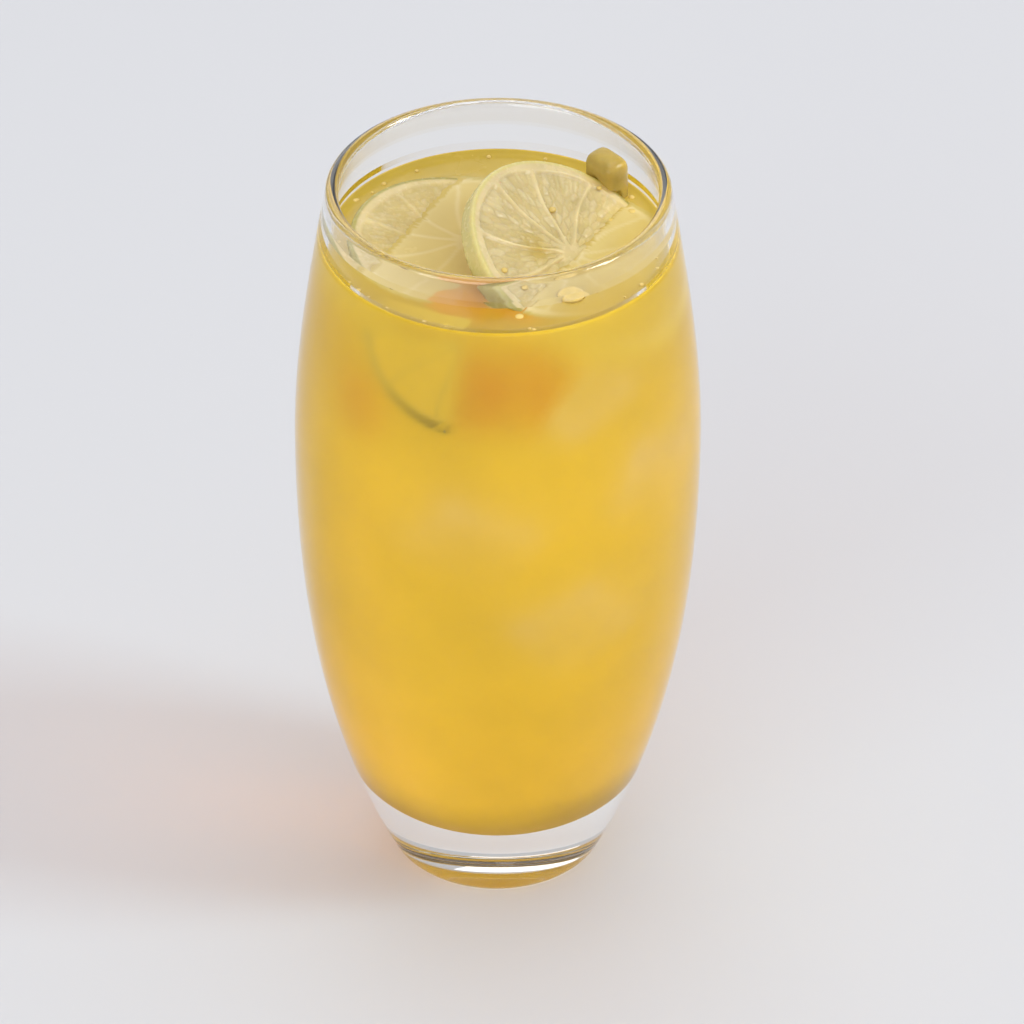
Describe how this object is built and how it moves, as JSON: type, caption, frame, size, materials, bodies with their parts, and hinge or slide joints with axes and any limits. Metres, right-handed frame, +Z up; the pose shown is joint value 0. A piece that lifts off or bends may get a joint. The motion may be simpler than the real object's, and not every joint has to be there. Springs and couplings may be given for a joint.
{
  "type": "glass of iced lime drink",
  "caption": "Clear barrel tumbler with a thick foot, filled near the rim with a cloudy yellow mixed drink, floating lime wheels and ice.",
  "frame": {"origin": "centre of the foot, on the surface the glass stands on", "axes": "+Z up along the glass's axis, -Y towards the viewer of the picture, +X to the viewer's right"},
  "size_m": [0.074, 0.074, 0.145],
  "materials": {
    "glass": "clear polished soda glass",
    "drink": "cloudy yellow drink, wet surface",
    "lime": "wet pale lime flesh with green rind",
    "ice": "wet ice tinted by the drink"
  },
  "bodies": {
    "root": {"glass": "glass", "drink": "drink", "lime_wheel_right": "lime", "lime_wheel_left": "lime", "ice_cube": "ice"}
  },
  "joints": []
}
